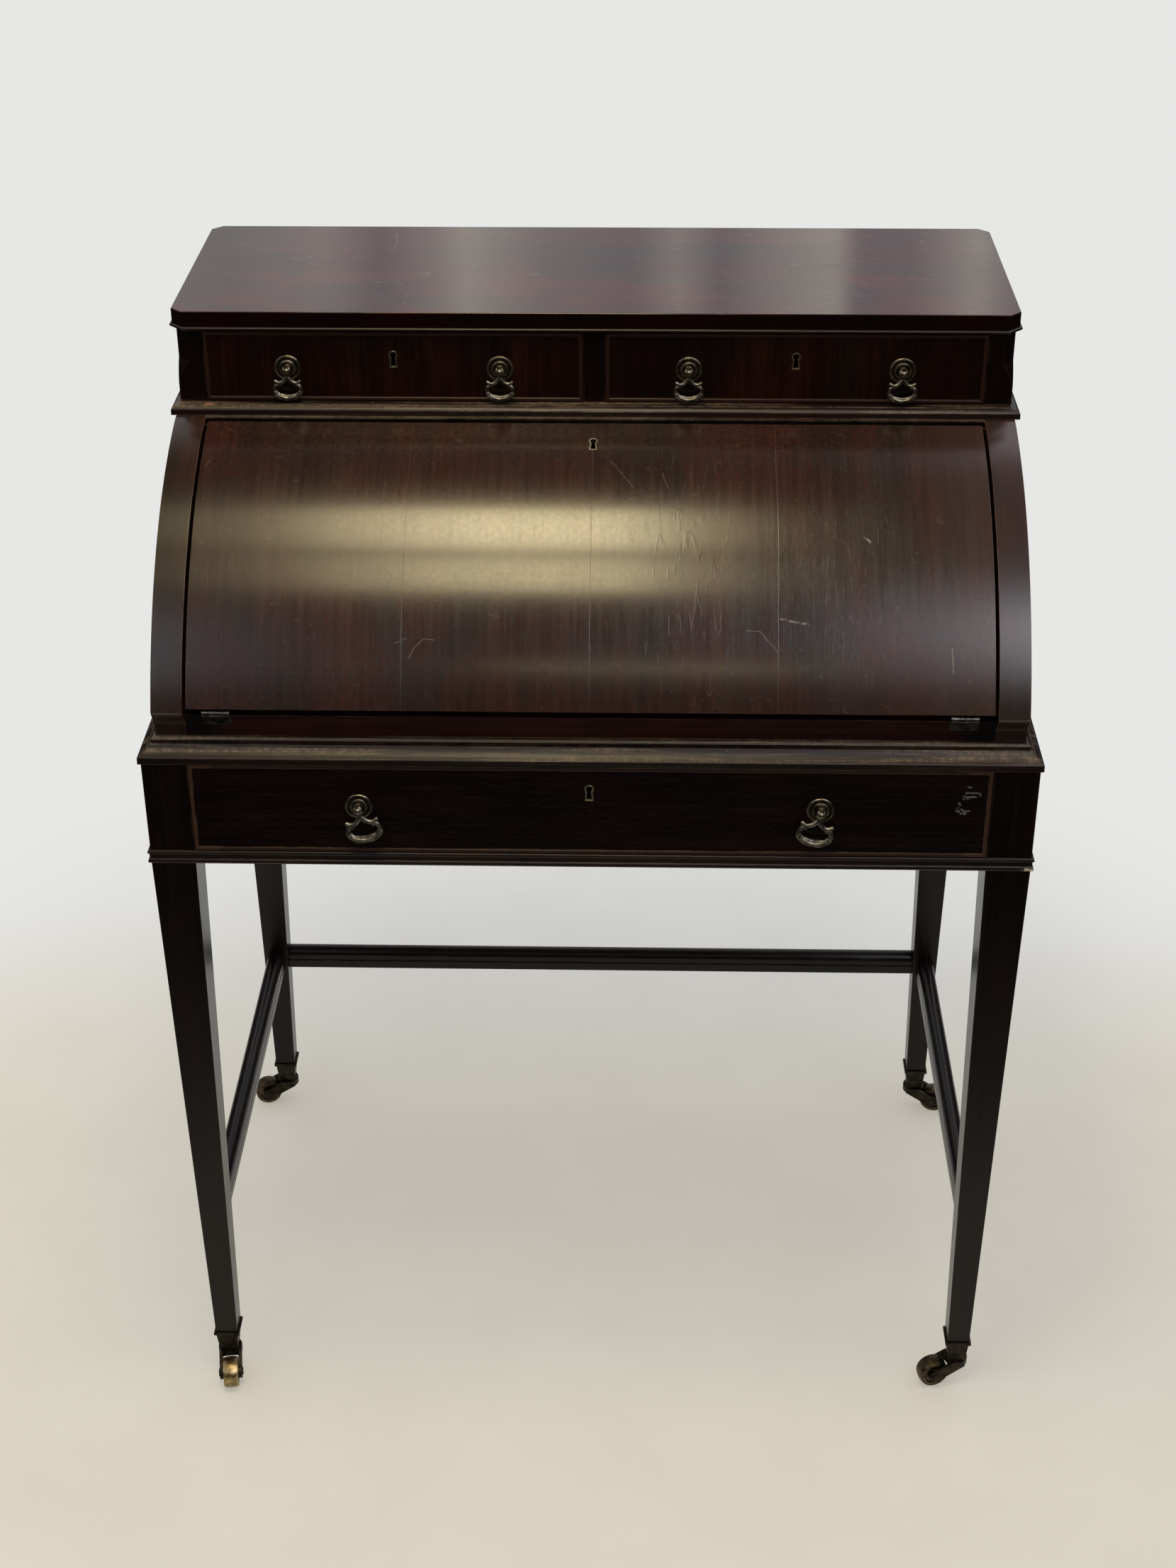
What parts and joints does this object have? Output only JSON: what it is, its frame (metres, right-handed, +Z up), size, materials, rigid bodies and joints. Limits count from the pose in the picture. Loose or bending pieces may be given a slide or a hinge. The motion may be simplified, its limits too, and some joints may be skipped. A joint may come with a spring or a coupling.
{
  "type": "cylinder desk",
  "caption": "Mahogany writing desk on tapered legs with brass castors, a curved fall that drops to a writing board, drawers with bail handles and pigeonholes inside",
  "frame": {"origin": "on the floor, below the middle of the bounding box", "axes": "+X to the right as seen from the front, +Y from front to back, +Z up"},
  "size_m": [0.8468, 0.5318, 1.088],
  "materials": {
    "mahogany": "semi-gloss French polish, worn at the edges",
    "red_mahogany": "semi-gloss, redder than the rest",
    "drawer_lining": "plain unpolished lining wood",
    "antique_brass": "dark antique brass, bright where it is worn",
    "leather": "worn brown writing leather"
  },
  "bodies": {
    "carcass": {"leg_front_left": "mahogany", "leg_front_right": "mahogany", "leg_back_left": "mahogany", "leg_back_right": "mahogany", "castor_cups": "antique_brass", "stretchers": "mahogany", "base_rails": "mahogany", "base_bead": "mahogany", "drawer_runners": "drawer_lining", "table_top": "mahogany", "cheek_left": "mahogany", "cheek_right": "mahogany", "hinge_rail": "red_mahogany", "writing_bed": "mahogany", "back_panel": "drawer_lining", "pigeonholes": "drawer_lining", "waist_board": "mahogany", "upper_uprights": "mahogany", "sub_top": "mahogany", "top_board": "mahogany", "hinge_leaves": "antique_brass"},
    "fall": {"fall_front": "mahogany", "fall_ends": "mahogany", "fall_board": "mahogany", "fall_leather": "leather", "fall_lock": "antique_brass", "fall_hinge_leaves": "antique_brass", "stay_lugs": "antique_brass"},
    "fall_bolt": {"fall_bolt": "antique_brass"},
    "stay_arm_left": {"stay_arm_left": "antique_brass"},
    "stay_link_left": {"stay_link_left": "antique_brass"},
    "stay_arm_right": {"stay_arm_right": "antique_brass"},
    "stay_link_right": {"stay_link_right": "antique_brass"},
    "left_drawer": {"left_drawer_front": "mahogany", "left_drawer_box": "drawer_lining", "left_drawer_fittings": "antique_brass"},
    "left_drawer_bolt": {"left_drawer_bolt": "antique_brass"},
    "left_drawer_outer_bail": {"left_drawer_outer_bail": "antique_brass"},
    "left_drawer_inner_bail": {"left_drawer_inner_bail": "antique_brass"},
    "right_drawer": {"right_drawer_front": "mahogany", "right_drawer_box": "drawer_lining", "right_drawer_fittings": "antique_brass"},
    "right_drawer_bolt": {"right_drawer_bolt": "antique_brass"},
    "right_drawer_inner_bail": {"right_drawer_inner_bail": "antique_brass"},
    "right_drawer_outer_bail": {"right_drawer_outer_bail": "antique_brass"},
    "long_drawer": {"long_drawer_front": "mahogany", "long_drawer_box": "drawer_lining", "long_drawer_fittings": "antique_brass"},
    "long_drawer_bolt": {"long_drawer_bolt": "antique_brass"},
    "long_drawer_left_bail": {"long_drawer_left_bail": "antique_brass"},
    "long_drawer_right_bail": {"long_drawer_right_bail": "antique_brass"},
    "castor_fork_front_left": {"castor_fork_front_left": "antique_brass"},
    "castor_wheel_front_left": {"castor_wheel_front_left": "antique_brass"},
    "castor_fork_front_right": {"castor_fork_front_right": "antique_brass"},
    "castor_wheel_front_right": {"castor_wheel_front_right": "antique_brass"},
    "castor_fork_back_left": {"castor_fork_back_left": "antique_brass"},
    "castor_wheel_back_left": {"castor_wheel_back_left": "antique_brass"},
    "castor_fork_back_right": {"castor_fork_back_right": "antique_brass"},
    "castor_wheel_back_right": {"castor_wheel_back_right": "antique_brass"}
  },
  "joints": [
    {"name": "fall_hinge", "type": "hinge", "parent": "carcass", "child": "fall", "pos_m": [0, -0.23215, 0.798], "axis": [1, 0, 0], "range_deg": [0, 140.65]},
    {"name": "fall_bolt_slide", "type": "slide", "parent": "fall", "child": "fall_bolt", "axis": [0, 0.9686, 0.2488], "range_m": [0, 0.006]},
    {"name": "stay_arm_left_pivot", "type": "hinge", "parent": "carcass", "child": "stay_arm_left", "pos_m": [-0.36, -0.10738, 0.81554], "axis": [1, 0, 0], "range_deg": [0, 140.65]},
    {"name": "stay_link_left_pivot", "type": "hinge", "parent": "stay_arm_left", "child": "stay_link_left", "pos_m": [-0.36, -0.00234, 0.88514], "axis": [1, 0, 0], "range_deg": [-140.65, 0]},
    {"name": "stay_arm_right_pivot", "type": "hinge", "parent": "carcass", "child": "stay_arm_right", "pos_m": [0.36, -0.10738, 0.81554], "axis": [1, 0, 0], "range_deg": [0, 140.65]},
    {"name": "stay_link_right_pivot", "type": "hinge", "parent": "stay_arm_right", "child": "stay_link_right", "pos_m": [0.36, -0.00234, 0.88514], "axis": [1, 0, 0], "range_deg": [-140.65, 0]},
    {"name": "left_drawer_slide", "type": "slide", "parent": "carcass", "child": "left_drawer", "axis": [0, -1, 0], "range_m": [0, 0.14]},
    {"name": "left_drawer_bolt_slide", "type": "slide", "parent": "left_drawer", "child": "left_drawer_bolt", "axis": [0, 0, 1], "range_m": [0, 0.0045]},
    {"name": "left_drawer_outer_bail_hinge", "type": "hinge", "parent": "left_drawer", "child": "left_drawer_outer_bail", "pos_m": [-0.28575, 0.0022, 1.0332], "axis": [-1, 0, 0], "range_deg": [0, 85]},
    {"name": "left_drawer_inner_bail_hinge", "type": "hinge", "parent": "left_drawer", "child": "left_drawer_inner_bail", "pos_m": [-0.08775, 0.0022, 1.0332], "axis": [-1, 0, 0], "range_deg": [0, 85]},
    {"name": "right_drawer_slide", "type": "slide", "parent": "carcass", "child": "right_drawer", "axis": [0, -1, 0], "range_m": [0, 0.14]},
    {"name": "right_drawer_bolt_slide", "type": "slide", "parent": "right_drawer", "child": "right_drawer_bolt", "axis": [0, 0, 1], "range_m": [0, 0.0045]},
    {"name": "right_drawer_inner_bail_hinge", "type": "hinge", "parent": "right_drawer", "child": "right_drawer_inner_bail", "pos_m": [0.08775, 0.0022, 1.0332], "axis": [-1, 0, 0], "range_deg": [0, 85]},
    {"name": "right_drawer_outer_bail_hinge", "type": "hinge", "parent": "right_drawer", "child": "right_drawer_outer_bail", "pos_m": [0.28575, 0.0022, 1.0332], "axis": [-1, 0, 0], "range_deg": [0, 85]},
    {"name": "long_drawer_slide", "type": "slide", "parent": "carcass", "child": "long_drawer", "axis": [0, -1, 0], "range_m": [0, 0.3]},
    {"name": "long_drawer_bolt_slide", "type": "slide", "parent": "long_drawer", "child": "long_drawer_bolt", "axis": [0, 0, 1], "range_m": [0, 0.006]},
    {"name": "long_drawer_left_bail_hinge", "type": "hinge", "parent": "long_drawer", "child": "long_drawer_left_bail", "pos_m": [-0.209, -0.2523, 0.7107], "axis": [-0.9781, 0, -0.2079], "range_deg": [0, 85]},
    {"name": "long_drawer_right_bail_hinge", "type": "hinge", "parent": "long_drawer", "child": "long_drawer_right_bail", "pos_m": [0.209, -0.2523, 0.7107], "axis": [-0.9781, 0, 0.2079], "range_deg": [0, 85]},
    {"name": "castor_fork_front_left_swivel", "type": "hinge", "parent": "carcass", "child": "castor_fork_front_left", "pos_m": [-0.383, -0.225, 0.031], "axis": [0, 0, 1], "continuous": true},
    {"name": "castor_wheel_front_left_spin", "type": "hinge", "parent": "castor_fork_front_left", "child": "castor_wheel_front_left", "pos_m": [-0.37952, -0.24976, 0.016], "axis": [0.9903, 0.1392, 0], "continuous": true},
    {"name": "castor_fork_front_right_swivel", "type": "hinge", "parent": "carcass", "child": "castor_fork_front_right", "pos_m": [0.383, -0.225, 0.031], "axis": [0, 0, 1], "continuous": true},
    {"name": "castor_wheel_front_right_spin", "type": "hinge", "parent": "castor_fork_front_right", "child": "castor_wheel_front_right", "pos_m": [0.35909, -0.23231, 0.016], "axis": [0.2924, -0.9563, 0], "continuous": true},
    {"name": "castor_fork_back_left_swivel", "type": "hinge", "parent": "carcass", "child": "castor_fork_back_left", "pos_m": [-0.383, 0.2395, 0.031], "axis": [0, 0, 1], "continuous": true},
    {"name": "castor_wheel_back_left_spin", "type": "hinge", "parent": "castor_fork_back_left", "child": "castor_wheel_back_left", "pos_m": [-0.40715, 0.23303, 0.016], "axis": [0.2588, -0.9659, 0], "continuous": true},
    {"name": "castor_fork_back_right_swivel", "type": "hinge", "parent": "carcass", "child": "castor_fork_back_right", "pos_m": [0.383, 0.2395, 0.031], "axis": [0, 0, 1], "continuous": true},
    {"name": "castor_wheel_back_right_spin", "type": "hinge", "parent": "castor_fork_back_right", "child": "castor_wheel_back_right", "pos_m": [0.40715, 0.23303, 0.016], "axis": [0.2588, 0.9659, 0], "continuous": true}
  ],
  "couplings": [
    {"joint": "stay_arm_left_pivot", "follows": "fall_hinge", "ratio": 1},
    {"joint": "stay_link_left_pivot", "follows": "fall_hinge", "ratio": -1},
    {"joint": "stay_arm_right_pivot", "follows": "fall_hinge", "ratio": 1},
    {"joint": "stay_link_right_pivot", "follows": "fall_hinge", "ratio": -1}
  ]
}
